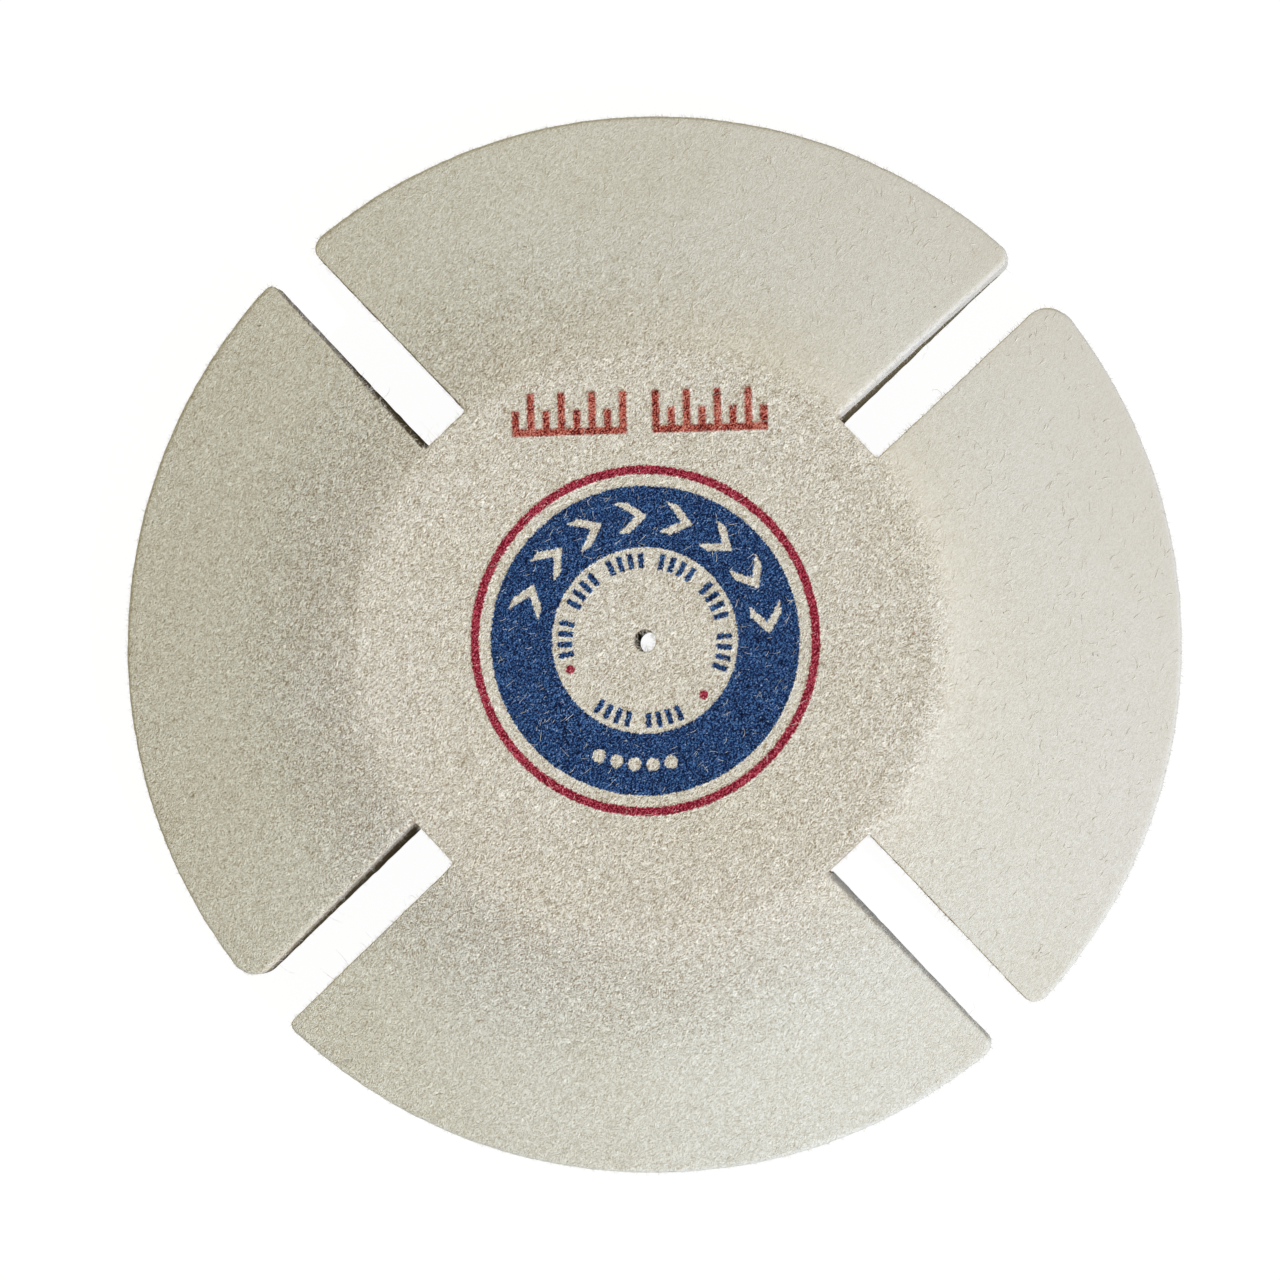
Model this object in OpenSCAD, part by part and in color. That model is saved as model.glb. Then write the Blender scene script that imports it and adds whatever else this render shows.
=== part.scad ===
// Slotted hard-felt polishing wheel.
// The back face lies on z = 0 and the axis of the wheel is the Z axis.
// The first slot runs out along +X, and the others follow it round the axis.

/* [Wheel] */
// Diameter of the wheel
wheel_d = 152.4; // [120:0.1:300]
// Thickness at the flat hub
hub_t = 12.7; // [8:0.1:25]
// Thickness at the rim, where the sloping face would meet it
rim_t = 4.8; // [3:0.1:8]
// Diameter of the flat part of the hub
hub_flat_d = 82.5; // [70:0.1:110]
// Radius on the two edges of the rim
rim_edge_r = 0.8; // [0.2:0.1:1.4]

/* [Pin hole] */
// Diameter of the hole through the hub
pin_hole_d = 3.2; // [2:0.1:12]

/* [Slots] */
// Number of slots
slot_count = 4; // [2:1:6]
// Width of a slot, level with the hub's face
slot_w = 8.3; // [5:0.1:12]
// How far each wall of a slot leans in, from the hub's face to the back
slot_draft = 0.5; // [0:0.05:1]
// Distance from the edge of the flat hub out to the square end of a slot
slot_setback = 0.4; // [0.2:0.1:10]
// Width of the cut on the corners where a slot meets the rim
corner_w = 1.6; // [0.5:0.1:5]

/* [Ink] */
// Depth to which the ink soaks into the felt
ink_soak = 0.4; // [0.2:0.05:1]
// Direction of the top of the round label, counter-clockwise from +X
label_turn = 41.7; // [0:0.1:90]
// Direction of the top of the rubber stamp, counter-clockwise from +X
stamp_turn = 47.8; // [0:0.1:90]

/* [Blue band] */
// Inner diameter of the band
band_in_d = 26.5; // [22:0.1:34]
// Width of the band
band_w = 8.8; // [7:0.1:11]
// Number of clear chevrons on the band
chevron_count = 8; // [3:1:10]
// Angle from one chevron to the next
chevron_pitch = 21.5; // [18:0.5:24]
// Height of a chevron, across the band
chevron_h = 4.4; // [3:0.1:5.5]
// How far a chevron's arms sweep back from its tip
chevron_sweep = 2.8; // [1:0.1:3]
// Width of a chevron's strokes, along the band
chevron_stroke = 1.7; // [0.8:0.1:2.2]
// Number of clear spots on the band, opposite the chevrons
spot_count = 5; // [1:1:9]
// Angle from one spot to the next
spot_pitch = 8.5; // [8:0.5:12]
// Diameter of a spot
spot_d = 1.9; // [1:0.1:2]

/* [Ticks and dots] */
// Clear width between the ticks and the band
tick_gap = 0.75; // [0.5:0.05:2]
// Length of a tick
tick_h = 2.25; // [1:0.05:3]
// Width of a tick
tick_w = 0.8; // [0.4:0.1:0.9]
// Angle from one tick to the next
tick_pitch = 7.5; // [7:0.5:8]
// Diameter of the two red dots
dot_d = 1.3; // [0.8:0.1:1.6]

/* [Red ring] */
// Clear width between the band and the ring
ring_gap = 1.65; // [0.8:0.05:3]
// Width of the ring
ring_w = 1.25; // [0.6:0.05:2]

/* [Red stamp] */
// Clear width between the ring and the stamp
stamp_gap = 4.55; // [1:0.05:5.5]
// Height of the stamp, as a share of the width between that gap and the edge of the flat hub
stamp_fill = 0.545; // [0.3:0.005:0.7]
// Clear width between the stamp's far corners and the edge of the flat hub
stamp_clear = 0.4; // [0.4:0.1:3]
// Gap between the stamp's two halves
stamp_split = 3.6; // [1:0.1:6]
// Width of the stamp's strokes
stamp_stroke = 1.1; // [0.6:0.1:1.4]
// Distance from one bar of the stamp to the next
stamp_pitch = 2.2; // [2:0.1:4]
// Height of the stamp's short bars, as a share of its whole height
stamp_short = 0.6; // [0.4:0.05:0.9]

/* [Hidden] */
$fn = 128;

felt_colour = [0.79, 0.77, 0.72];
blue_colour = [0.13, 0.25, 0.47];
red_colour = [0.70, 0.16, 0.22];

past = 1; // how far a cut runs past the face it opens
edge_steps = 5; // straight steps in each rounded edge of the rim

wheel_r = wheel_d / 2;
hub_flat_r = hub_flat_d / 2;
face_slope = atan((hub_t - rim_t) / (wheel_r - hub_flat_r));
slot_end_r = hub_flat_r + slot_setback;

band_in_r = band_in_d / 2;
band_out_r = band_in_r + band_w;
band_mid_r = band_in_r + band_w / 2;
tick_mid_r = band_in_r - tick_gap - tick_h / 2;
ring_in_r = band_out_r + ring_gap;
ring_out_r = ring_in_r + ring_w;
stamp_near = ring_out_r + stamp_gap;
stamp_reach = hub_flat_r - stamp_clear;
stamp_h = (stamp_reach - stamp_near) * stamp_fill;
stamp_w = 2 * sqrt(pow(stamp_reach, 2) - pow(stamp_near + stamp_h, 2));
stamp_half_w = (stamp_w - stamp_split) / 2;
stamp_steps = floor((stamp_half_w - stamp_stroke) / stamp_pitch);

// Ticks run round the top and the bottom of the label, with every fifth one left out.
run_of_ticks = 5;
top_tick = 14; // steps from the label's top to the last tick on each side
bottom_tick = 4; // and the same from its bottom
tick_angles = concat(
    [for (i = [0:2 * top_tick]) if (i % run_of_ticks != run_of_ticks - 1)
        (i - top_tick) * tick_pitch],
    [for (i = [0:2 * bottom_tick]) if (i % run_of_ticks != run_of_ticks - 1)
        180 + (i - bottom_tick) * tick_pitch]);
dot_angles = [116, -128];

function arc(centre, r, from, to, steps) =
    [for (i = [0:steps]) let (a = from + (to - from) * i / steps)
        centre + r * [cos(a), sin(a)]];

// Half the width of a slot at a height above the back face.
function slot_half(z) = slot_w / 2 - slot_draft * (hub_t - z) / hub_t;

// The wheel's outline from the axis out to the rim, before anything is cut from it.
module turned_blank() {
    low_centre = [wheel_r - rim_edge_r, rim_edge_r];
    high_centre = [wheel_r - rim_edge_r,
        rim_t + rim_edge_r * (tan(face_slope) - 1 / cos(face_slope))];
    rotate_extrude() polygon(concat(
        [[0, 0]],
        arc(low_centre, rim_edge_r, -90, 0, edge_steps),
        arc(high_centre, rim_edge_r, 0, 90 - face_slope, edge_steps),
        [[hub_flat_r, hub_t], [0, hub_t]]));
}

// One slot, open at the rim and square at its inner end.
module slot_cut() {
    low = slot_half(-past);
    high = slot_half(hub_t + past);
    translate([slot_end_r, 0, 0]) rotate([90, 0, 90])
        linear_extrude(wheel_r - slot_end_r + past)
            polygon([[-low, -past], [low, -past], [high, hub_t + past],
                [-high, hub_t + past]]);
}

// Cuts the corner between a slot's wall and the rim, on the side of the slot towards +Y.
module corner_cut() {
    wall = slot_half(0);
    rim_x = sqrt(pow(wheel_r, 2) - pow(wall, 2));
    translate([rim_x, wall, -past]) linear_extrude(hub_t + 2 * past)
        polygon([[-corner_w - past, -past], [past, -past], [past, corner_w + past]]);
}

module slots() {
    for (i = [0:slot_count - 1]) rotate(i * 360 / slot_count) {
        slot_cut();
        corner_cut();
        mirror([0, 1, 0]) corner_cut();
    }
}

// Flat shapes of the print. The top of the label and of the stamp points along +X here.

module flat_ring(r_in, r_out) {
    difference() {
        circle(r = r_out);
        circle(r = r_in);
    }
}

// A chevron that points clockwise round the label.
module chevron() {
    back = (chevron_sweep + chevron_stroke) / 2;
    front = (chevron_sweep - chevron_stroke) / 2;
    polygon([[0, -back], [chevron_h / 2, front], [chevron_h / 2, back], [0, -front],
        [-chevron_h / 2, back], [-chevron_h / 2, front]]);
}

module blue_band_shape() {
    rotate(label_turn) difference() {
        flat_ring(band_in_r, band_out_r);
        for (i = [0:chevron_count - 1])
            rotate((i - (chevron_count - 1) / 2) * chevron_pitch)
                translate([band_mid_r, 0]) chevron();
        for (i = [0:spot_count - 1])
            rotate(180 + (i - (spot_count - 1) / 2) * spot_pitch)
                translate([band_mid_r, 0]) circle(d = spot_d);
    }
}

module red_ring_shape() {
    flat_ring(ring_in_r, ring_out_r);
}

module blue_tick_shape() {
    rotate(label_turn) for (a = tick_angles)
        rotate(a) translate([tick_mid_r, 0]) square([tick_h, tick_w], center = true);
}

module red_dot_shape() {
    rotate(label_turn) for (a = dot_angles)
        rotate(a) translate([tick_mid_r, 0]) circle(d = dot_d);
}

// One half of the stamp: a base line with long and short bars standing on it.
module stamp_half_shape() {
    translate([stamp_near, 0]) {
        square([stamp_stroke, stamp_steps * stamp_pitch + stamp_stroke]);
        for (i = [0:stamp_steps]) translate([0, i * stamp_pitch])
            square([stamp_h * (i % 2 == 0 ? 1 : stamp_short), stamp_stroke]);
    }
}

module red_stamp_shape() {
    rotate(stamp_turn) for (side = [0, 1]) mirror([0, side])
        translate([0, stamp_split / 2]) stamp_half_shape();
}

// Ink that has soaked into the hub, flush with its face.
module soaked_in() {
    translate([0, 0, hub_t - ink_soak]) linear_extrude(ink_soak) children();
}

// The room that the ink takes out of the felt.
module ink_room() {
    translate([0, 0, hub_t - ink_soak]) linear_extrude(ink_soak + past) children();
}

module felt_wheel() {
    color(felt_colour) difference() {
        turned_blank();
        translate([0, 0, -past]) cylinder(d = pin_hole_d, h = hub_t + 2 * past);
        slots();
        ink_room() blue_band_shape();
        ink_room() red_ring_shape();
        ink_room() blue_tick_shape();
        ink_room() red_dot_shape();
        ink_room() red_stamp_shape();
    }
}

module blue_band_print() {
    color(blue_colour) soaked_in() blue_band_shape();
}

module red_ring_print() {
    color(red_colour) soaked_in() red_ring_shape();
}

module blue_tick_print() {
    color(blue_colour) soaked_in() blue_tick_shape();
}

module red_dot_print() {
    color(red_colour) soaked_in() red_dot_shape();
}

module red_grade_stamp() {
    color(red_colour) soaked_in() red_stamp_shape();
}

felt_wheel();
blue_band_print();
red_ring_print();
blue_tick_print();
red_dot_print();
red_grade_stamp();
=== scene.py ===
"""A slotted hard-felt polishing wheel, which lies printed face up on a white card.

All lengths below are in millimetres unless a comment says otherwise. Blender's own units are metres.
"""
import math

import bpy
import numpy as np
from mathutils import Matrix, Vector
from mathutils.geometry import delaunay_2d_cdt
from mathutils.kdtree import KDTree


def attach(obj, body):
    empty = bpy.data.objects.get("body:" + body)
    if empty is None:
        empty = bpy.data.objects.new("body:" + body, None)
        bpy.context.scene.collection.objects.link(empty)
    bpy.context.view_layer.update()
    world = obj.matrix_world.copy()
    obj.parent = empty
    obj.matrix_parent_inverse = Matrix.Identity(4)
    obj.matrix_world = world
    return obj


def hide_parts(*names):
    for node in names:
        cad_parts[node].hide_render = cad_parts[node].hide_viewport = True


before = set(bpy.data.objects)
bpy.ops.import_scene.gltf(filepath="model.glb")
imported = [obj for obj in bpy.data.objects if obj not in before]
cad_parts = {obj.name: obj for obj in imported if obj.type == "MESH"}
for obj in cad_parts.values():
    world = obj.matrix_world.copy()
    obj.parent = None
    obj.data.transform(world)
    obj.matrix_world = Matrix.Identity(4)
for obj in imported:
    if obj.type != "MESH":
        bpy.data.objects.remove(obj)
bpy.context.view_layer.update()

MM = 0.001


def mixed(a, b, share):
    """A value between a and b."""
    return a + (b - a) * share


# ---------------------------------------------------------------- sizes, read from the frame

SAME = 0.01  # places nearer than this to each other count as level


def cad_points(node):
    """The corners of a CAD node's mesh, in millimetres."""
    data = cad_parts[node].data
    co = np.empty(len(data.vertices) * 3, np.float32)
    data.vertices.foreach_get("co", co)
    return co.reshape(-1, 3).astype(float) / MM


def read_wheel():
    """The sizes of the felt, measured on its CAD node."""
    p = cad_points("felt_wheel")
    r = np.hypot(p[:, 0], p[:, 1])
    hub_t = p[:, 2].max()
    wheel_r = r.max()
    hub_r = r[p[:, 2] > hub_t - SAME].max()
    # The sloping face ends at the highest point within a millimetre of the rim.
    rim = p[r > wheel_r - 1]
    slope_end = rim[rim[:, 2].argmax()]
    fall = (hub_t - slope_end[2]) / (math.hypot(*slope_end[:2]) - hub_r)
    # Past the hub, the only points this near to the X axis are those of the slot that runs along it.
    slot = p[(p[:, 0] > hub_r) & (abs(p[:, 1]) < wheel_r / 10)]
    slot_end = slot[:, 0].min()
    end_wall = slot[slot[:, 0] < slot_end + SAME]
    top_half = abs(end_wall[end_wall[:, 2] > hub_t / 2][:, 1]).max()
    back_half = abs(end_wall[end_wall[:, 2] < SAME][:, 1]).max()
    return {
        "hub_t": hub_t, "wheel_r": wheel_r, "hub_r": hub_r, "fall": fall, "hole_r": r.min(),
        "slot_end": slot_end, "slot_half": top_half, "draft": top_half - back_half,
    }


SIZE = read_wheel()


# ---------------------------------------------------------------- smooth noise

NOISE_VALUES = 4096  # a power of two
NOISE_PRIMES = (73856093, 19349663, 83492791)


def noise(p, size, seed):
    """Smooth noise from -1 to 1 at points p, with about one bump in every size millimetres."""
    table = np.random.default_rng(seed).uniform(-1, 1, NOISE_VALUES)
    q = p / size
    cell = np.floor(q).astype(np.int64)
    f = q - cell
    f = f * f * f * (f * (f * 6 - 15) + 10)
    total = np.zeros(len(p))
    for corner in np.ndindex(2, 2, 2):
        x, y, z = ((cell + corner) * NOISE_PRIMES).T
        key = (x ^ y ^ z) & (NOISE_VALUES - 1)
        total += table[key] * np.prod(np.where(corner, f, 1 - f), axis=1)
    return total


def layered_noise(p, layers):
    """Noise from several layers, each given as its strength, the size of its bumps and its seed."""
    return sum(strength * noise(p, size, seed) for strength, size, seed in layers)


def on_plane(xy):
    """Points in plan, as points in space at a height of zero."""
    return np.column_stack([xy, np.zeros(len(xy))])


# ---------------------------------------------------------------- the felt's surface

CREASE = 0.7  # half the width over which the flat hub turns into the sloping face
# Layers of noise: the strength of each, the size of its bumps and its seed.
FACE_UNEVENNESS = [(0.05, 14, 1), (0.02, 4.5, 2), (0.006, 1.6, 3)]


def face_height(xy):
    """Height of the printed face at points in plan, with the felt's own unevenness."""
    past = np.hypot(xy[:, 0], xy[:, 1]) - SIZE["hub_r"]
    soft = np.clip((past + CREASE) / (2 * CREASE), 0, 1)
    bent = np.where(past > CREASE, past, soft * soft * CREASE)
    return SIZE["hub_t"] - SIZE["fall"] * bent + layered_noise(on_plane(xy), FACE_UNEVENNESS)


# ---------------------------------------------------------------- the outline

# Radius of the worn corner where each slot meets the rim, going round from the slot along +X:
# the two corners of each segment in turn.
CORNERS = [(1.8, 2.1), (1.1, 3.5), (1.1, 1.6), (2.1, 3.9)]
# Each segment's two straight walls, in the same order: the radius on the face's edge and how much
# painted shade darkens the wall below its top, from 0 to 1. Three of the walls were worn soft in
# use.
WALLS = [
    ((0.75, 0.1), (0.18, 1.0)), ((0.18, 1.0), (0.70, 1.0)),
    ((0.18, 1.0), (0.60, 0.0)), ((0.18, 1.0), (0.18, 1.0)),
]
END_SHADE = 0.8  # how much painted shade darkens the inner end of a slot
HOLE_SHADE = 1.0  # and the pin hole
RIM_BEAD = 0.6  # radius on the face's edge round the rim
CUT_BEAD = 0.18  # and along the inner end of a slot and round the hole
INNER_CORNER = 0.35  # radius in the square corners of a slot's inner end
STEP = 0.42  # spacing of points round the outline
HOLE_POINTS = 28


def arc(centre, radius, start, end, least=5):
    """Points on an arc and the unit vectors from its centre to them."""
    n = max(least, int(abs(end - start) * radius / STEP))
    a = np.linspace(start, end, n + 1)
    unit = np.column_stack([np.cos(a), np.sin(a)])
    return np.asarray(centre) + radius * unit, unit


def straight(start, end, normal):
    """Points along a straight wall, without its ends, and its outward normal at each."""
    start, end = np.asarray(start), np.asarray(end)
    n = int(np.linalg.norm(end - start) / STEP)
    t = np.linspace(0, 1, n + 1)[1:-1, None]
    return start + (end - start) * t, np.tile(normal, (len(t), 1))


def quarter_outline(near, far, near_wall, far_wall):
    """One segment's outline, anticlockwise, from its wall on the +X slot to its wall on the +Y slot
    and across that slot's inner end. Gives points, outward normals, how far each point's wall leans
    into its slot, from 0 to 1, how much of it is a clean saw cut, from 0 to 1, the radius on the
    face's edge there and how much painted shade darkens its wall."""
    near_bead, near_shade = near_wall
    far_bead, far_shade = far_wall
    half, end, wheel_r, inner = SIZE["slot_half"], SIZE["slot_end"], SIZE["wheel_r"], INNER_CORNER
    a = np.array([math.sqrt((wheel_r - near) ** 2 - (half + near) ** 2), half + near])
    b = np.array([half + far, math.sqrt((wheel_r - far) ** 2 - (half + far) ** 2)])
    turn_a, turn_b = math.atan2(a[1], a[0]), math.atan2(b[1], b[0])
    parts = []

    def add(made, *values):
        points, normals = made
        parts.append((points, normals, *(np.broadcast_to(v, len(points)) for v in values)))

    add(straight((end + inner, half), (a[0], half), (0, -1)), 1.0, 1.0, near_bead, near_shade)
    p, n = arc(a, near, -math.pi / 2, turn_a)
    lean = np.clip(-n[:, 1], 0, 1) ** 2
    add((p, n), lean, lean, mixed(RIM_BEAD, near_bead, lean), near_shade * lean)
    p, n = arc((0, 0), wheel_r, turn_a, turn_b)
    add((p[1:-1], n[1:-1]), 0.0, 0.0, RIM_BEAD, 0.0)
    p, n = arc(b, far, turn_b, math.pi)
    lean = np.clip(-n[:, 0], 0, 1) ** 2
    add((p, n), lean, lean, mixed(RIM_BEAD, far_bead, lean), far_shade * lean)
    add(straight((half, b[1]), (half, end + inner), (-1, 0)), 1.0, 1.0, far_bead, far_shade)
    p, n = arc((half - inner, end + inner), inner, 0, -math.pi / 2)
    lean = n[:, 0] ** 2
    add((p, -n), lean, 1.0, mixed(CUT_BEAD, far_bead, lean), END_SHADE)
    add(straight((half - inner, end), (inner - half, end), (0, 1)), 0.0, 1.0, CUT_BEAD, END_SHADE)
    p, n = arc((inner - half, end + inner), inner, -math.pi / 2, -math.pi)
    add((p, -n), n[:, 0] ** 2, 1.0, CUT_BEAD, END_SHADE)
    return [np.concatenate(column) for column in zip(*parts)]


def turned(v, quarter):
    """Vectors in plan turned by whole quarters of a circle."""
    c, s = round(math.cos(quarter * math.pi / 2)), round(math.sin(quarter * math.pi / 2))
    return v @ np.array([[c, s], [-s, c]])


def hole_outline():
    """The pin hole's outline, clockwise, in the same columns as quarter_outline."""
    a = -np.arange(HOLE_POINTS) * 2 * math.pi / HOLE_POINTS
    unit = np.column_stack([np.cos(a), np.sin(a)])
    values = (np.full(HOLE_POINTS, v) for v in (0.0, 1.0, CUT_BEAD, HOLE_SHADE))
    return SIZE["hole_r"] * unit, -unit, *values


def wheel_outline():
    """The rim and slots and then the pin hole, at the height of the hub's face, in the same columns
    as quarter_outline. The hole's points are the last."""
    parts = []
    for quarter, (radii, walls) in enumerate(zip(CORNERS, WALLS)):
        points, normals, *rest = quarter_outline(*radii, *walls)
        parts.append((turned(points, quarter), turned(normals, quarter), *rest))
    parts.append(hole_outline())
    return [np.concatenate(column) for column in zip(*parts)]


# ---------------------------------------------------------------- flat faces between outlines

FAR = 1e9
CLEARANCE = 0.6  # how far a grid's points stay from the outline, as a share of their spacing
CDT_TRIANGLES = 0  # the kind of result that asks for triangles out to the convex hull
CDT_EPSILON = 1e-7


def grid(reach, spacing):
    """Points of a triangular grid that covers a square of twice reach."""
    row = spacing * math.sqrt(3) / 2
    y, x = np.mgrid[-reach:reach:row, -reach:reach:spacing]
    x = x + np.where(np.arange(len(y)) % 2, spacing / 2, 0)[:, None]
    return np.column_stack([x.ravel(), y.ravel()])


def signed_distance(xy, edges):
    """Distance from each point to the nearest edge, negative inside the outline."""
    best = np.full(len(xy), FAR)
    crossings = np.zeros(len(xy), int)
    for a, b in edges:
        ab = b - a
        t = np.clip(((xy - a) @ ab) / (ab @ ab), 0, 1)
        gap = xy - a - t[:, None] * ab
        best = np.minimum(best, np.hypot(gap[:, 0], gap[:, 1]))
        spans = (a[1] > xy[:, 1]) != (b[1] > xy[:, 1])
        if spans.any():
            x_at = a[0] + (xy[:, 1] - a[1]) * ab[0] / ab[1]
            crossings += spans & (xy[:, 0] < x_at)
    return np.where(crossings % 2, -best, best)


def inside(points, edge, normals, margin):
    """Which points in plan lie inside an outline, further than margin from the points on it."""
    tree = KDTree(len(edge))
    for index, point in enumerate(edge):
        tree.insert((*point, 0), index)
    tree.balance()
    nearest = np.array([tree.find((*point, 0))[1] for point in points])
    gap = points - edge[nearest]
    return (np.hypot(*gap.T) > margin) & ((gap * normals[nearest]).sum(axis=1) < 0)


def filled(edge, normals, loops, spacing):
    """A flat face between closed loops: points of a grid inside the first loop and outside the
    others, and triangles over the loops' own points followed by the grid's."""
    sides = np.concatenate([np.column_stack([loop, np.roll(loop, -1)]) for loop in loops])
    free = grid(SIZE["wheel_r"], spacing)
    free = free[inside(free, edge, normals, CLEARANCE * spacing)]
    xy = np.concatenate([edge, free])
    vectors = [Vector(p) for p in xy]
    made = delaunay_2d_cdt(vectors, sides.tolist(), [], CDT_TRIANGLES, CDT_EPSILON, False)
    tris = np.array(made[2])
    doubtful = np.flatnonzero((tris < len(edge)).all(axis=1))
    centres = xy[tris[doubtful]].mean(axis=1)
    outside = signed_distance(centres, edge[sides]) > 0
    return free, np.delete(tris, doubtful[outside], axis=0)


# ---------------------------------------------------------------- the felt

EDGE_TURNS = (90, 68, 45, 22, 0)  # steps in the worn edge of the face, in degrees
BACK_TURNS = (0, 30, 60, 90)  # and in the edge of the back
BACK_BEAD = 0.5  # radius on the rim's edge at the back
WALL_ROWS = 13
# Layers of noise that make the walls wavy.
WALL_WAVES = [(0.04, 3.2, 11), (0.05, 1.1, 12), (0.05, 17, 13)]
BACK_UNEVEN = 0.03  # how far the back rises and falls, all of it above z = 0
BACK_BUMPS = 6  # and the size of its bumps
FACE_GRID = 0.7
BACK_GRID = 1.5
LIT_SHARE = 1.5  # how far down a cut's wall the painted shade stays faint, as a share of its worn radius
SHADE_BLEND = 0.4  # depth over which it turns to the dark brown of painted shade, where the edge is sharp
SHALLOW_SHADE = 0.25  # how much painted shade it has above that, as a share


def add_mesh(name, points, faces, material):
    """A new smooth object from points in millimetres."""
    data = bpy.data.meshes.new(name)
    data.from_pydata((np.asarray(points) * MM).tolist(), [], [list(map(int, f)) for f in faces])
    data.polygons.foreach_set("use_smooth", np.ones(len(data.polygons), bool))
    data.materials.append(material)
    data.update()
    piece = bpy.data.objects.new(name, data)
    bpy.context.scene.collection.objects.link(piece)
    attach(piece, "root")
    return piece


def add_attribute(piece, name, values):
    """One number for each of a piece's points, which its material can read."""
    attribute = piece.data.attributes.new(name, "FLOAT", "POINT")
    attribute.data.foreach_set("value", values.astype(np.float32))


def strip(upper, lower):
    """Quads between two closed rows of the same number of points, the wall's outside to the right
    of the direction of travel."""
    return np.column_stack([upper, lower, np.roll(lower, -1), np.roll(upper, -1)])


def wall_rows(plan, normals, leans, cuts, beads, shade_shares):
    """Closed rows of points down the walls, from the face to the back, and the painted shade on
    each.
    """
    hub_t = SIZE["hub_t"]
    top = face_height(plan)
    pale = LIT_SHARE * (beads - CUT_BEAD)
    back_beads = mixed(BACK_BEAD, CUT_BEAD, cuts)
    rows = []
    row_shades = []

    def add_row(inset, z, rough):
        lean = leans * SIZE["draft"] * (hub_t - z) / hub_t
        wave = rough * layered_noise(np.column_stack([plan, z]), WALL_WAVES)
        rows.append(np.column_stack([plan + normals * (lean - inset + wave)[:, None], z]))
        # Painted shade below the pale top of each wall of a cut, darkest deep down.
        deep = np.clip((top - z - pale) / (SHADE_BLEND + pale), 0, 1)
        row_shades.append(shade_shares * rough * mixed(SHALLOW_SHADE, 1, deep))

    for turn in map(math.radians, EDGE_TURNS):
        inset = beads * (1 - math.cos(turn))
        z = face_height(plan - normals * inset[:, None]) - beads * (1 - math.sin(turn))
        add_row(inset, z, math.cos(turn))
    brow = rows[-1][:, 2]
    for share in np.linspace(0, 1, WALL_ROWS)[1:-1]:
        add_row(0, mixed(brow, back_beads, share), 1.0)
    for turn in map(math.radians, BACK_TURNS):
        inset = back_beads * (1 - math.cos(turn))
        add_row(inset, back_beads * (1 - math.sin(turn)), math.cos(turn))
    return rows, np.concatenate(row_shades)


def wheel_mesh():
    """The whole felt: printed face, back, rim, slot walls and pin hole. Gives its points and faces,
    how much painted shade each point gets, from 0 to 1, then the rows of points down its walls,
    and their outward normals and cuts."""
    plan, normals, leans, cuts, beads, shade_shares = wheel_outline()
    n = len(plan)
    loops = [np.arange(n - HOLE_POINTS), np.arange(n - HOLE_POINTS, n)]
    rows, wall_shade = wall_rows(plan, normals, leans, cuts, beads, shade_shares)

    points = list(rows)
    faces = []
    for k in range(len(rows) - 1):
        for loop in loops:
            upper = loop + k * n
            faces.extend(strip(upper, upper + n).tolist())
    count = len(rows) * n

    last = len(rows) - 1
    for row, spacing in ((0, FACE_GRID), (last, BACK_GRID)):
        free, tris = filled(rows[row][:, :2], normals, loops, spacing)
        if row == last:
            z = BACK_UNEVEN * (1 + noise(on_plane(free), BACK_BUMPS, 21))
            tris = tris[:, ::-1]
        else:
            z = face_height(free)
        points.append(np.column_stack([free, z]))
        index = np.concatenate([np.arange(n) + row * n, np.arange(len(free)) + count])
        faces.extend(index[tris].tolist())
        count += len(free)
    # Painted shade on the walls of the cuts, and none on the face or the back.
    cut_shade = np.zeros(count)
    cut_shade[:len(wall_shade)] = wall_shade
    return np.concatenate(points), faces, cut_shade, rows, normals, cuts


# ---------------------------------------------------------------- ink

INK_GRID = 0.3
INK_MARGIN = 0.5  # how far a skin reaches past its print
INK_LIFT = 0.035  # how far a skin stands above the felt, enough to hide it
INK_FLAT = 0.1  # how far past its print it stands that high
INK_TUCK = 0.06  # how far below the felt its edge ends
INK_DEPTH = 0.3  # how far below the felt its underside lies


def print_edges(node):
    """The edges of a print's flat top, as an array of segments in plan."""
    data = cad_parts[node].data
    p = cad_points(node)
    top = p[:, 2].max() - SAME
    seen = {}
    for polygon in data.polygons:
        corners = list(polygon.vertices)
        if min(p[v][2] for v in corners) < top:
            continue
        for a, b in zip(corners, corners[1:] + corners[:1]):
            ka, kb = tuple(p[a, :2].round(3)), tuple(p[b, :2].round(3))
            key = (min(ka, kb), max(ka, kb))
            seen[key] = seen.get(key, 0) + 1
    return np.array([key for key, uses in seen.items() if uses == 1])


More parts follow.
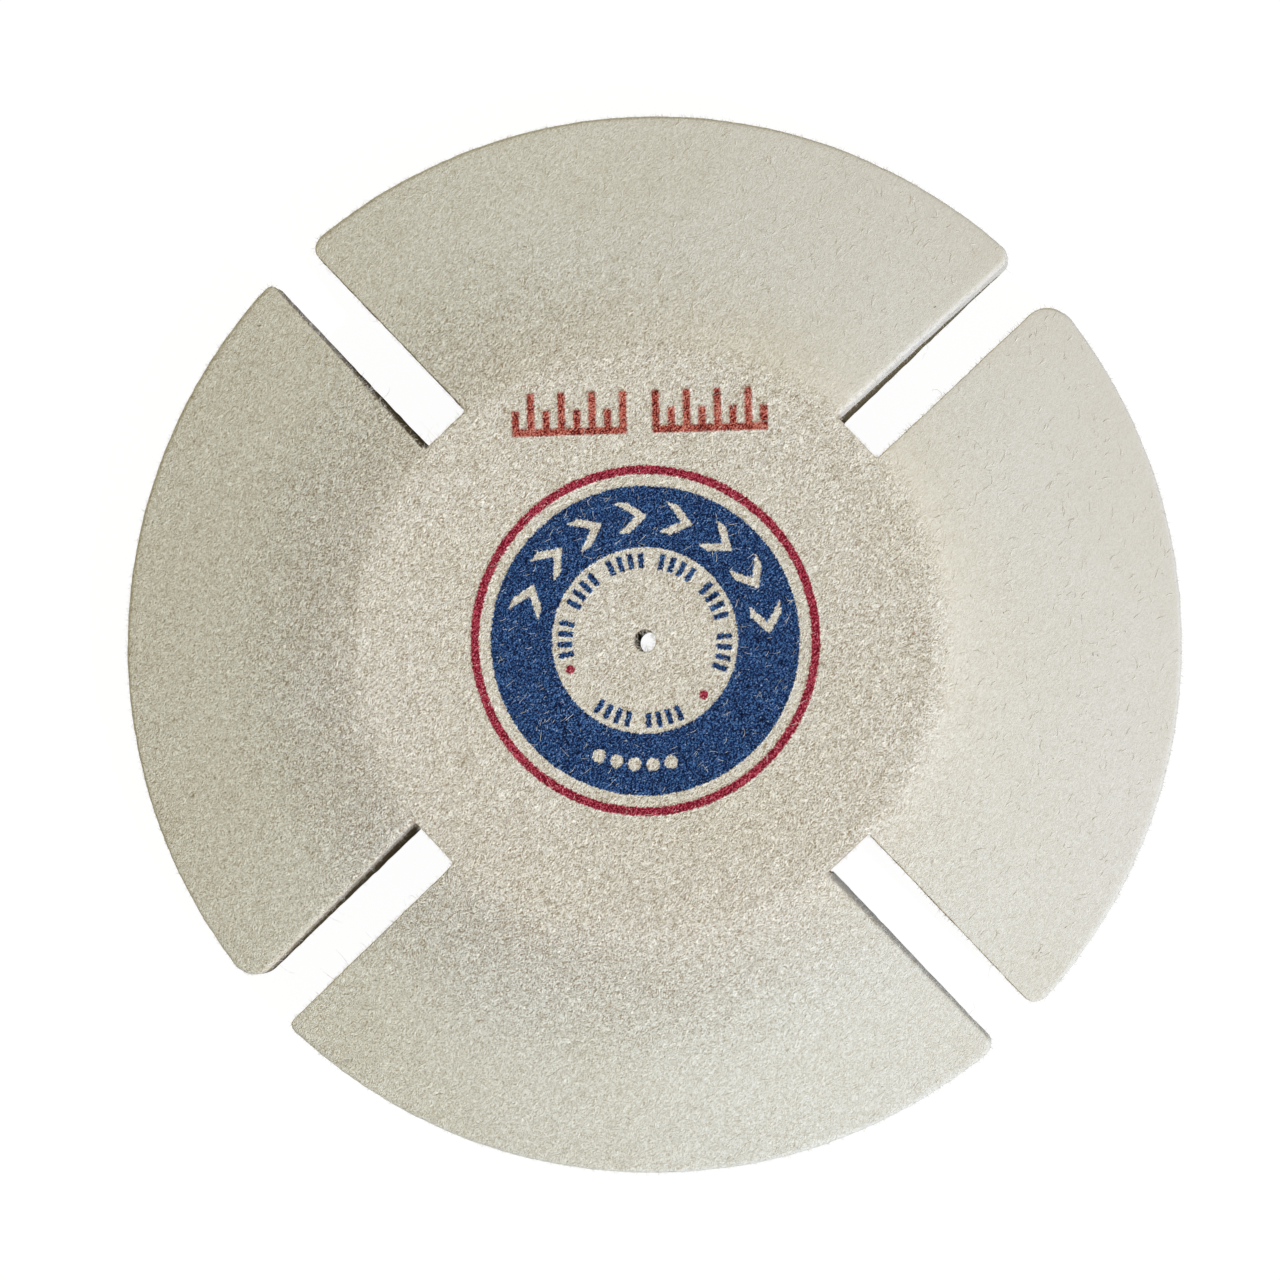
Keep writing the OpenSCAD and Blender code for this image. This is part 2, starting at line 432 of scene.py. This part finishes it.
def skin_plan(edges):
    """A triangular grid over a print and a margin round it. Gives its points in plan, how far each
    lies from the print's edge, negative inside, and its triangles."""
    room = 1
    reach = abs(edges).max() + INK_MARGIN + room
    row = INK_GRID * math.sqrt(3) / 2
    rows, cols = int(2 * reach / row) + 1, int(2 * reach / INK_GRID) + 1
    j, i = np.mgrid[0:rows, 0:cols]
    x = i * INK_GRID + (j % 2) * INK_GRID / 2
    xy = np.column_stack([x.ravel(), (j * row).ravel()]) - reach
    low, high = edges.min(axis=(0, 1)) - room, edges.max(axis=(0, 1)) + room
    near = ((xy > low) & (xy < high)).all(axis=1)
    depth = np.full(len(xy), FAR)
    depth[near] = signed_distance(xy[near], edges)

    cell = (j[:-1, :-1] * cols + i[:-1, :-1]).ravel()
    odd = (j[:-1, :-1] % 2).ravel().astype(bool)
    right, up, over = cell + 1, cell + cols, cell + cols + 1
    tris = np.concatenate([
        np.column_stack([cell, right, np.where(odd, over, up)]),
        np.column_stack([np.where(odd, cell, right), over, up]),
    ])
    tris = tris[(depth[tris] < INK_MARGIN).all(axis=1)]
    used, tris = np.unique(tris, return_inverse=True)
    return xy[used], depth[used], tris.reshape(-1, 3)


def ink_skin(name, node, material):
    """A thin skin of inked felt over a print, a little wider than the print, so that its ragged edge
    can fade out inside the skin."""
    xy, depth, tris = skin_plan(print_edges(node))
    n = len(xy)
    past = np.maximum(depth - INK_FLAT, 0) / (INK_MARGIN - INK_FLAT)
    lift = INK_LIFT - past * (INK_LIFT + INK_TUCK)
    z = face_height(xy)
    points = np.concatenate([np.column_stack([xy, z + lift]), np.column_stack([xy, z - INK_DEPTH])])
    sides = np.concatenate([tris[:, [0, 1]], tris[:, [1, 2]], tris[:, [2, 0]]])
    key = np.sort(sides, axis=1)
    _, first, uses = np.unique(key, axis=0, return_index=True, return_counts=True)
    rim = sides[first[uses == 1]]
    walls = np.column_stack([rim[:, 0], rim[:, 0] + n, rim[:, 1] + n, rim[:, 1]])
    faces = tris.tolist() + (tris[:, ::-1] + n).tolist() + walls.tolist()
    piece = add_mesh(name, points, faces, material)
    add_attribute(piece, "edge", np.concatenate([depth, depth]))
    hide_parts(node)
    return piece


# ---------------------------------------------------------------- loose fibres

FIBRE_RINGS = 6
FIBRE_TAPER = 0.7  # how much of its thickness a fibre loses by its end
FIBRE_WIDTHS = (0.85, 1.1)  # how the thickness varies along a fibre, as shares of the whole
FIBRE_FLOOR = 0.01  # no fibre reaches below this height
LEAST_OUT = 0.1  # how far out of a wall every fibre on it points, at least
PLAN_GAP = 1  # how far from the slots and the hole a fibre on the face starts, at least


def fibre_piece(name, starts, ways, lengths, thick, curl, seed, material):
    """Loose fibres in one mesh. Each is a thin tube of three sides that starts at a point, sets off
    one way, bends by about curl radians and tapers to its end."""
    rng = np.random.default_rng(seed)
    n = len(starts)
    ways = ways / np.linalg.norm(ways, axis=1, keepdims=True)
    side = np.cross(ways, rng.normal(size=(n, 3)))
    side /= np.linalg.norm(side, axis=1, keepdims=True)
    step = (lengths / (FIBRE_RINGS - 1))[:, None]
    bend = rng.normal(0, curl, n)[:, None] / (FIBRE_RINGS - 1)
    twist = rng.normal(0, 0.5, n)[:, None]
    rings, at, way = [], starts.copy(), ways.copy()
    for k in range(FIBRE_RINGS):
        across = side - way * (side * way).sum(axis=1, keepdims=True)
        across /= np.linalg.norm(across, axis=1, keepdims=True)
        third = np.cross(way, across)
        taper = 1 - FIBRE_TAPER * (k / (FIBRE_RINGS - 1)) ** 2
        radius = thick * taper * rng.uniform(*FIBRE_WIDTHS, n)[:, None]
        for corner in range(3):
            turn = corner * 2 * math.pi / 3
            rings.append(at + radius * (across * math.cos(turn) + third * math.sin(turn)))
        at = at + way * step
        way = way + bend * (across + twist * third)
        way /= np.linalg.norm(way, axis=1, keepdims=True)
    points = np.stack(rings, axis=1).reshape(-1, 3)
    points[:, 2] = np.maximum(points[:, 2], FIBRE_FLOOR)

    quads = []
    for k in range(FIBRE_RINGS - 1):
        for c in range(3):
            d = (c + 1) % 3
            quads.append((3 * k + c, 3 * k + d, 3 * k + 3 + d, 3 * k + 3 + c))
    last = 3 * (FIBRE_RINGS - 1)
    caps = np.array([(2, 1, 0), (last, last + 1, last + 2)])
    base = np.arange(n)[:, None, None] * 3 * FIBRE_RINGS
    faces = (np.array(quads) + base).reshape(-1, 4).tolist() + (caps + base).reshape(-1, 3).tolist()
    piece = add_mesh(name, points, faces, material)
    return piece


def face_spots(rng, count, reach):
    """Random spots in plan on the printed face, off the slots and the hole."""
    spots = rng.uniform(-reach, reach, (count * 3, 2))
    r = np.hypot(spots[:, 0], spots[:, 1])
    off_slots = abs(spots).min(axis=1) > SIZE["slot_half"] + PLAN_GAP
    on_hub = r < SIZE["slot_end"] - PLAN_GAP
    ok = (r < reach) & (r > SIZE["hole_r"] + PLAN_GAP) & (on_hub | off_slots)
    return spots[ok][:count]


def lying_fibres(name, spots, turns, lengths, rise, lift, thick, curl, seed, material):
    """Fibres that lie on the printed face. Each starts at its spot, lift above the face, and sets
    off at its turn in plan, climbing by rise."""
    ways = np.column_stack([np.cos(turns), np.sin(turns), np.broadcast_to(rise, len(turns))])
    starts = np.column_stack([spots, face_height(spots) + lift])
    fibre_piece(name, starts, ways, lengths, thick, curl, seed, material)


def loose_fibres(fibre, dark, inked, rows, normals, cuts):
    """Every loose fibre on the wheel."""
    rng = np.random.default_rng(7)
    whole = 2 * math.pi

    spots = face_spots(rng, 5200, SIZE["wheel_r"] - 1)
    n = len(spots)
    turns = rng.normal(0, 0.6, n) + math.pi * rng.integers(0, 2, n)
    rise = rng.uniform(0.02, 0.16, n)
    lengths = rng.uniform(0.6, 1.9, n)
    lying_fibres("face_fibres", spots, turns, lengths, rise, lift=-0.01,
                 thick=0.032, curl=1.1, seed=31, material=fibre)

    spots = face_spots(rng, 90, SIZE["wheel_r"] - 2)
    n = len(spots)
    turns = rng.uniform(0, whole, n)
    lengths = rng.uniform(0.15, 0.7, n)
    lying_fibres("dark_specks", spots, turns, lengths, rise=0.02, lift=0.01,
                 thick=0.045, curl=1.5, seed=32, material=dark)

    spots = face_spots(rng, 46, SIZE["hub_r"] - 2)
    n = len(spots)
    turns = rng.uniform(0, whole, n)
    lengths = rng.uniform(0.1, 0.5, n)
    lying_fibres("inked_fibres", spots, turns, lengths, rise=0.05, lift=0.01,
                 thick=0.05, curl=1.2, seed=34, material=inked)

    solid = np.arange(len(normals)) < len(normals) - HOLE_POINTS
    on_slots = np.flatnonzero(solid & (cuts > 0.5))
    on_rim = np.flatnonzero(solid & (cuts <= 0.5))
    on_hole = np.flatnonzero(~solid)
    for name, chosen, count, least, most, seed in (
            ("slot_fuzz", on_slots, 2600, 0.25, 0.9, 2633),
            ("rim_fuzz", on_rim, 3200, 0.2, 0.8, 3233),
            ("hole_fuzz", on_hole, 130, 0.4, 1.5, 163)):
        # Most of them start near the top of a wall.
        pick = rng.choice(chosen, count)
        level = np.minimum(rng.exponential(3.0, count).astype(int) + 2, len(rows) - 3)
        starts = np.stack(rows)[level, pick]
        out = np.column_stack([normals[pick], np.zeros(count)])
        ways = out * rng.uniform(0.2, 1.0, (count, 1)) + rng.normal(0, 0.6, (count, 3))
        outward = (ways[:, :2] * normals[pick]).sum(axis=1)
        ways[:, :2] += normals[pick] * np.maximum(0, LEAST_OUT - outward)[:, None]
        lengths = rng.uniform(least, most, count)
        fibre_piece(name, starts, ways, lengths, thick=0.020, curl=1.0, seed=seed, material=fibre)

    count = 26
    pick = rng.choice(on_slots, count)
    starts = np.stack(rows)[rng.integers(2, 9, count), pick]
    ways = np.column_stack([normals[pick], np.zeros(count)]) + rng.normal(0, 0.35, (count, 3))
    lengths = rng.uniform(1.5, 4.0, count)
    fibre_piece("long_slot_fibres", starts, ways, lengths,
                thick=0.022, curl=1.6, seed=40, material=fibre)


# ---------------------------------------------------------------- materials

class Shader:
    """The nodes of one material, with short calls for the ones used most."""

    def __init__(self, name):
        self.material = bpy.data.materials.new(name)
        self.material.use_nodes = True
        self.tree = self.material.node_tree
        self.tree.nodes.clear()

    def add(self, kind, inputs=None, **settings):
        """A new node, with a value or a link for each input that is named or numbered."""
        node = self.tree.nodes.new("ShaderNode" + kind)
        for key, value in settings.items():
            setattr(node, key, value)
        for socket, value in (inputs or {}).items():
            if isinstance(value, bpy.types.NodeSocket):
                self.tree.links.new(value, node.inputs[socket])
            else:
                node.inputs[socket].default_value = value
        return node

    def math(self, operation, *values):
        return self.add("Math", dict(enumerate(values)), operation=operation).outputs[0]

    def vector(self, operation, *values):
        return self.add("VectorMath", dict(enumerate(values)), operation=operation).outputs[0]

    def measure(self, operation, *values):
        """The number that a vector operation gives."""
        node = self.add("VectorMath", dict(enumerate(values)), operation=operation)
        return node.outputs["Value"]

    def fit(self, value, low, high, to_low=0.0, to_high=1.0, smooth=False):
        """A value brought from one range to another and kept inside it."""
        kind = "SMOOTHSTEP" if smooth else "LINEAR"
        inputs = {"Value": value, "From Min": low, "From Max": high}
        inputs.update({"To Min": to_low, "To Max": to_high})
        return self.add("MapRange", inputs, interpolation_type=kind).outputs[0]

    def mix(self, share, a, b, blend="MIX"):
        inputs = {0: share, 6: a, 7: b}
        return self.add("Mix", inputs, data_type="RGBA", blend_type=blend).outputs[2]

    def noise(self, place, size, detail=2.0, rough=0.5, at=(0, 0, 0)):
        """Noise with bumps of about one size, moved so that no two noises are alike."""
        moved = self.vector("ADD", place, at)
        inputs = {"Vector": moved, "Scale": 1 / size, "Detail": detail, "Roughness": rough}
        return self.add("TexNoise", inputs)

    def ramp(self, value, stops):
        """The colour at a value, between stops that each give a value and its colour."""
        node = self.add("ValToRGB", {"Fac": value})
        elements = node.color_ramp.elements
        while len(elements) < len(stops):
            elements.new(0.5)
        for element, (place, colour) in zip(elements, stops):
            element.position = place
            element.color = (*colour, 1)
        return node.outputs[0]

    def place(self):
        """Where a point lies on the object, in millimetres."""
        return self.vector("MULTIPLY", self.add("TexCoord").outputs["Object"], (1 / MM,) * 3)


# Layers of short fibres: the way they lie in degrees, their length and their width.
FIBRE_LAYERS = [
    (5, 0.95, 0.115), (20, 0.85, 0.11), (-12, 0.85, 0.11), (36, 0.70, 0.115), (-50, 0.45, 0.11),
]
GRAIN = 0.09  # size of the finest grain
NAP_TURN = -25  # direction in plan, in degrees, of the smoothest side
# How coarse the felt looks on the hub, and on the rough and smooth sides of the slope and the rim.
HUB_GRAIN = 1.33
SLOPE_GRAIN = (2.0, 0.30)
RIM_GRAIN = (0.95, 0.14)
# Where one gives way to the next, and where the tints of the rim take over, from the hub's edge.
SLOPE_FADE = (-1.5, 3.5)
RIM_FADE = (3, 24)
TINT_FADE = (-2, 18)
LOOK_MEAN = 0.81  # the mean of a spot's look, before its coarseness is set

# The felt's colours, by how far each spot stands up out of the felt.
FELT_TONES = [
    (0.0, (0.28, 0.21, 0.13)), (0.30, (0.53, 0.48, 0.385)), (0.50, (0.68, 0.655, 0.585)),
    (0.72, (0.80, 0.785, 0.725)), (1.0, (0.98, 0.975, 0.93)),
]
# Tints of the face, from the hub out.
FACE_TINTS = [
    (0.0, (0.955, 0.945, 0.925)), (0.35, (0.900, 0.900, 0.890)), (1.0, (0.920, 0.930, 0.950)),
]
# Tints of the segments, from the rough side to the smooth one: painted shade and light, darker and
# yellower on the rough side, which lies away from the key light, and lightest across the middle.
SIDE_SHADING_TINTS = [(0.0, (0.865, 0.863, 0.785)), (0.5, (0.975, 1.0, 1.0)), (1.0, (0.908, 0.900, 0.898))]
# Tints of the walls of the cuts, from clean felt to the dark brown of painted shade.
CUT_SHADE_TINTS = [(0.0, (1, 1, 1)), (0.25, (1.0, 0.93, 0.83)), (1.0, (0.31, 0.235, 0.135))]
WARM_CLOUDS = (0.93, 0.90, 0.80, 1)  # tint of the faint patches all over the felt


def coarseness(s, place, reach):
    """How coarse the felt looks at each place, and how far each place lies towards the smooth side.
    Past the edge of the hub it is rougher on the side where it has lifted and smoother on the other,
    and it evens out towards the rim."""
    turn = math.radians(NAP_TURN)
    side = s.measure("DOT_PRODUCT", place, (math.cos(turn), math.sin(turn), 0))
    hub_r, wheel_r = SIZE["hub_r"], SIZE["wheel_r"]
    near = s.fit(reach, hub_r + SLOPE_FADE[0], hub_r + SLOPE_FADE[1], smooth=True)
    far = s.fit(reach, hub_r + RIM_FADE[0], hub_r + RIM_FADE[1], smooth=True)
    near_grain = s.fit(side, -hub_r, hub_r, *SLOPE_GRAIN)
    far_grain = s.fit(side, -wheel_r, wheel_r, *RIM_GRAIN)
    coarse = s.math("MULTIPLY_ADD", near, s.math("SUBTRACT", near_grain, HUB_GRAIN), HUB_GRAIN)
    return s.math("MULTIPLY_ADD", far, s.math("SUBTRACT", far_grain, coarse), coarse), side


def matted_fibres(s, bent):
    """Short fibres that lie over each other. Gives how far the top one stands up at each place, from
    0 to 1, and a random tone for each fibre."""
    high = None
    tint = None
    for index, (turn, length, width) in enumerate(FIBRE_LAYERS):
        # Each layer is moved and tipped its own way, so that no two line up.
        inputs = {
            "Vector": bent, "Location": (7.3 * index, 3.1 * index, 1.7 * index),
            "Rotation": (0.35 * (-1) ** index, 0.25, math.radians(turn)),
            "Scale": (length, width, width * 1.6),
        }
        along = s.add("Mapping", inputs, vector_type="TEXTURE").outputs[0]
        cells = s.add("TexVoronoi", {"Vector": along, "Scale": 0.8, "Randomness": 1.0})
        shade = s.add("SeparateColor", {"Color": cells.outputs["Color"]})
        low = s.math("MULTIPLY", cells.outputs["Distance"], -1.0)
        stand = s.math("MULTIPLY_ADD", shade.outputs[0], 0.55, low)
        if high is None:
            high, tint = stand, shade.outputs[1]
            continue
        above = s.math("GREATER_THAN", stand, high)
        tint = s.math("MULTIPLY_ADD", s.math("SUBTRACT", shade.outputs[1], tint), above, tint)
        high = s.math("MAXIMUM", high, stand)
    return s.fit(high, -0.30, 0.40), tint


def felt_nodes(s):
    """Pressed felt. Returns its place in millimetres, colour and height in millimetres, and how far
    each spot stands up, from 0 to 1."""
    place = s.place()
    bend = s.noise(place, 1.3, 1.0).outputs["Color"]
    bend = s.vector("MULTIPLY", s.vector("SUBTRACT", bend, (0.5, 0.5, 0.5)), (0.8, 0.8, 0.8))
    bent = s.vector("ADD", place, bend)
    stand, tint = matted_fibres(s, bent)

    flat = s.add("SeparateXYZ", {"Vector": place})
    reach = s.add("CombineXYZ", {"X": flat.outputs[0], "Y": flat.outputs[1]}).outputs[0]
    reach = s.measure("LENGTH", reach)
    hub_r, wheel_r = SIZE["hub_r"], SIZE["wheel_r"]
    out = s.fit(reach, hub_r + TINT_FADE[0], hub_r + TINT_FADE[1], smooth=True)
    coarse, side = coarseness(s, place, reach)
    clump = s.noise(place, 1.0, 2.0, 0.5, (40, 0, 0)).outputs["Fac"]
    combed = s.vector("MULTIPLY", bent, (0.45, 1.0, 1.0))
    tufts = s.add("TexVoronoi", {"Vector": combed, "Scale": 1 / GRAIN, "Randomness": 1.0})
    grain = s.add("SeparateColor", {"Color": tufts.outputs["Color"]}).outputs[0]

    look = s.math("MULTIPLY", tint, 0.30)
    for part, share in ((stand, 0.60), (grain, 0.70), (clump, 0.06)):
        look = s.math("MULTIPLY_ADD", part, share, look)
    look = s.math("MULTIPLY_ADD", s.math("SUBTRACT", look, LOOK_MEAN), coarse, 0.50)
    colour = s.mix(1.0, s.ramp(look, FELT_TONES), s.ramp(out, FACE_TINTS), "MULTIPLY")
    # Painted shade and light across the segments, from the side away from the key light to the side
    # towards it.
    side_shading = s.ramp(s.fit(side, -wheel_r, wheel_r), SIDE_SHADING_TINTS)
    colour = s.mix(out, colour, s.mix(1.0, colour, side_shading, "MULTIPLY"))
    # Coarser felt looks darker under its bump shade; painted light and shade, set by coarseness,
    # evens it out.
    even = s.math("MULTIPLY_ADD", coarse, 0.07, 0.93)
    colour = s.add("VectorMath", {0: colour, "Scale": even}, operation="SCALE").outputs[0]

    height = s.math("MULTIPLY", stand, 0.10)
    for part, share in ((clump, 0.03), (grain, 0.03)):
        height = s.math("MULTIPLY_ADD", part, share, height)
    height = s.math("MULTIPLY", height, coarse)

    cloud = s.noise(place, 22, 3.0, 0.5, (0, 0, 30)).outputs["Fac"]
    colour = s.mix(s.fit(cloud, 0.35, 0.7, 0.0, 0.30), colour, WARM_CLOUDS, "MULTIPLY")
    return place, colour, height, look


def finish_cloth(s, colour, height, sheen=0.25):
    """Closes a cloth material with its bump, roughness and sheen."""
    bump = s.add("Bump", {"Height": height, "Strength": 1.0, "Distance": MM})
    inputs = {
        "Base Color": colour, "Roughness": 0.95, "Specular IOR Level": 0.15, "Sheen Weight": sheen,
        "Sheen Roughness": 0.6, "Normal": bump.outputs[0],
    }
    shader = s.add("BsdfPrincipled", inputs)
    s.add("OutputMaterial", {"Surface": shader.outputs[0]})
    return s.material


def felt_material():
    """The felt, with painted shade in dark brown deep down in its cuts."""
    s = Shader("pressed_wool_felt")
    _, colour, height, _ = felt_nodes(s)
    # Painted shade, dark brown, deep down in the slots and the hole.
    cut_shade = s.add("Attribute", attribute_name="cut_shade").outputs["Fac"]
    brown = s.ramp(cut_shade, CUT_SHADE_TINTS)
    return finish_cloth(s, s.mix(1.0, colour, brown, "MULTIPLY"), height)


def fibre_material(name, root, tip):
    """Loose fibres, whose colour drifts from fibre to fibre between two colours."""
    s = Shader(name)
    place = s.place()
    drift = s.noise(place, 1.7, 2.0).outputs["Fac"]
    scale = s.noise(place, 0.05, 1.0).outputs["Fac"]
    colour = s.ramp(drift, [(0.35, root), (0.65, tip)])
    return finish_cloth(s, colour, s.math("MULTIPLY", scale, 0.004), 0.2)


def ink_material(name, dark, mid, light, fray, soft, worn, blots):
    """Felt with ink on it, from three shades of the ink. Its edge wanders by up to about half of
    fray and fades over twice soft, in millimetres, worn sets how little felt shows through, and
    blots how uneven the ink is. Away from the print it is plain felt again."""
    s = Shader(name)
    place, colour, height, look = felt_nodes(s)
    edge = s.add("Attribute", attribute_name="edge").outputs["Fac"]
    wander = s.noise(place, 0.32, 2.0, 0.6, (11, 0, 0)).outputs["Fac"]
    speck = s.noise(place, 0.24, 1.0, 0.5, (0, 23, 0)).outputs["Fac"]
    patch = s.noise(place, 2.2, 3.0, 0.65, (0, 13, 0)).outputs["Fac"]
    inside = s.math("MULTIPLY_ADD", s.math("SUBTRACT", wander, 0.5), fray, edge)
    ink = s.fit(inside, -soft, soft, 1.0, 0.0, smooth=True)
    bare = s.math("MULTIPLY_ADD", look, 0.5, speck)
    bare = s.math("MULTIPLY_ADD", s.math("SUBTRACT", patch, 0.5), blots, bare)
    bare = s.fit(bare, worn, worn + 0.20, 0.0, 0.75)
    ink = s.math("MULTIPLY", ink, s.math("SUBTRACT", 1.0, bare))
    tone = s.math("SUBTRACT", speck, 0.5)
    tone = s.math("MULTIPLY_ADD", tone, 2.7, s.math("MULTIPLY", look, 0.9))
    tone = s.math("MULTIPLY_ADD", s.math("SUBTRACT", patch, 0.5), 2.2 * blots, tone)
    dye = s.ramp(tone, [(0.20, dark), (0.48, mid), (0.95, light)])
    return finish_cloth(s, s.mix(ink, colour, dye), height, 0.0)


# ---------------------------------------------------------------- the wheel

felt = felt_material()
points, faces, cut_shade, rows, normals, cuts = wheel_mesh()
wheel = add_mesh("felt_disc", points, faces, felt)
# Painted shade in the slots and the hole, which the felt's material reads.
add_attribute(wheel, "cut_shade", cut_shade)
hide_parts("felt_wheel")

fibre = fibre_material("loose_wool_fibre", (0.62, 0.57, 0.47), (0.90, 0.88, 0.82))
dark_fibre = fibre_material("dark_speck", (0.06, 0.05, 0.045), (0.20, 0.15, 0.11))
inked_fibre = fibre_material("stray_red_ink", (0.35, 0.04, 0.04), (0.60, 0.22, 0.18))
loose_fibres(fibre, dark_fibre, inked_fibre, rows, normals, cuts)

blue = ink_material(
    "blue_ink_on_felt", (0.0004, 0.002, 0.019), (0.006, 0.033, 0.135), (0.07, 0.17, 0.39),
    fray=0.75, soft=0.08, worn=1.14, blots=0.1)
red = ink_material(
    "red_ink_on_felt", (0.10, 0.001, 0.008), (0.35, 0.0125, 0.043), (0.55, 0.10, 0.14),
    fray=0.75, soft=0.08, worn=1.12, blots=0.15)
stamp = ink_material(
    "stamp_ink_on_felt", (0.07, 0.003, 0.003), (0.43, 0.050, 0.039), (0.65, 0.25, 0.18),
    fray=0.6, soft=0.20, worn=1.18, blots=0.6)
ink_skin("blue_band_skin", "blue_band_print", blue)
ink_skin("blue_tick_skin", "blue_tick_print", blue)
ink_skin("red_ring_skin", "red_ring_print", red)
ink_skin("red_dot_skin", "red_dot_print", red)
ink_skin("red_stamp_skin", "red_grade_stamp", stamp)


# ---------------------------------------------------------------- table, light and camera

# Angles here are in degrees, and the lengths of the table and the camera in metres.
PICTURE_UP = 46.4  # direction in plan that points up in the picture
PICTURE_RIGHT = PICTURE_UP - 90

TABLE_HALF = 2.5  # half the side of the table
TABLE_DROP = 0.0002  # how far below the back of the wheel it lies
CARD_TONES = (0.78, 0.82)  # the two greys that the card itself drifts between
CARD_GLOW = 1.045
GLOW_SHARE = 0.93  # how much of the card that the camera sees is glow
DIM_CARD = (0.15, 0.15, 0.14, 1)  # the card as the wheel sees it

KEY_TURN = -38  # from the picture's right round to the side that the key light stands on
KEY_RISE = 27.5
KEY_SPREAD = 2.0
KEY_ENERGY = 3.32
KEY_COLOUR = (0.90, 1.0, 1.26)
ROOM_COLOUR = (0.733, 0.673, 0.510, 1)

CAMERA_DISTANCE = 0.600
CAMERA_TILT = 4.93  # how far it leans from straight above the wheel
CAMERA_TURN = -22.8  # from the picture's right round to the side that it leans to
AIM_LEFT = 0.00170  # how far to the left of the wheel's middle it looks, in the picture
AIM_UP = 0.00049  # and how far above it
CAMERA_LENS = 116.2  # in millimetres, on a sensor of the usual 36 mm


def plan_vector(degrees):
    """A unit vector in plan, by its angle from +X."""
    a = math.radians(degrees)
    return Vector((math.cos(a), math.sin(a), 0))


def make_table():
    """A white card. The camera sees it bright, but it throws little light back up at the wheel."""
    s = Shader("white_card")
    seen = s.add("LightPath").outputs["Is Camera Ray"]
    grain = s.noise(s.add("TexCoord").outputs["Object"], 0.4, 3.0).outputs["Fac"]
    tone = s.fit(grain, 0.3, 0.7, *CARD_TONES)
    tone = s.add("CombineColor", {0: tone, 1: tone, 2: tone}).outputs[0]
    card = s.add("BsdfDiffuse", {"Color": tone, "Roughness": 0.5})
    glow = s.add("Emission", {"Color": (1, 1, 1, 1), "Strength": CARD_GLOW})
    bright = s.add("MixShader", {0: GLOW_SHARE, 1: card.outputs[0], 2: glow.outputs[0]})
    dim = s.add("BsdfDiffuse", {"Color": DIM_CARD})
    both = s.add("MixShader", {0: seen, 1: dim.outputs[0], 2: bright.outputs[0]})
    s.add("OutputMaterial", {"Surface": both.outputs[0]})
    corners = [(x * TABLE_HALF, y * TABLE_HALF, 0) for x, y in ((-1, -1), (1, -1), (1, 1), (-1, 1))]
    data = bpy.data.meshes.new("table")
    data.from_pydata(corners, [], [(0, 1, 2, 3)])
    data.materials.append(s.material)
    table = bpy.data.objects.new("table", data)
    table.location.z = -TABLE_DROP
    bpy.context.scene.collection.objects.link(table)


def make_light():
    """A low key light from the lower right of the picture, and the light of a warm room."""
    rise = math.radians(KEY_RISE)
    toward = plan_vector(PICTURE_RIGHT + KEY_TURN)
    aim = Vector((toward.x * math.cos(rise), toward.y * math.cos(rise), math.sin(rise)))
    data = bpy.data.lights.new("key", "SUN")
    data.energy = KEY_ENERGY
    data.color = KEY_COLOUR
    data.angle = math.radians(KEY_SPREAD)
    key = bpy.data.objects.new("key", data)
    key.rotation_euler = aim.to_track_quat("Z", "Y").to_euler()
    bpy.context.scene.collection.objects.link(key)
    world = bpy.data.worlds.new("room")
    world.use_nodes = True
    world.node_tree.nodes["Background"].inputs[0].default_value = ROOM_COLOUR
    bpy.context.scene.world = world
    bpy.context.scene.view_settings.view_transform = "Standard"


def make_camera():
    """The camera, which looks almost straight down on the printed face."""
    tilt = math.radians(CAMERA_TILT)
    back = plan_vector(PICTURE_RIGHT + CAMERA_TURN) * math.sin(tilt) + Vector((0, 0, math.cos(tilt)))
    aim = plan_vector(PICTURE_RIGHT + 180) * AIM_LEFT + plan_vector(PICTURE_UP) * AIM_UP
    up = plan_vector(PICTURE_UP)
    up = (up - back * up.dot(back)).normalized()
    right = up.cross(back)
    data = bpy.data.cameras.new("camera")
    data.lens = CAMERA_LENS
    data.sensor_width = 36.0
    data.clip_start = 0.01
    camera = bpy.data.objects.new("camera", data)
    place = aim + back * CAMERA_DISTANCE
    turn = Matrix((right, up, back)).transposed().to_4x4()
    camera.matrix_world = Matrix.Translation(place) @ turn
    bpy.context.scene.collection.objects.link(camera)
    bpy.context.scene.camera = camera


make_table()
make_light()
make_camera()

bpy.context.view_layer.update()
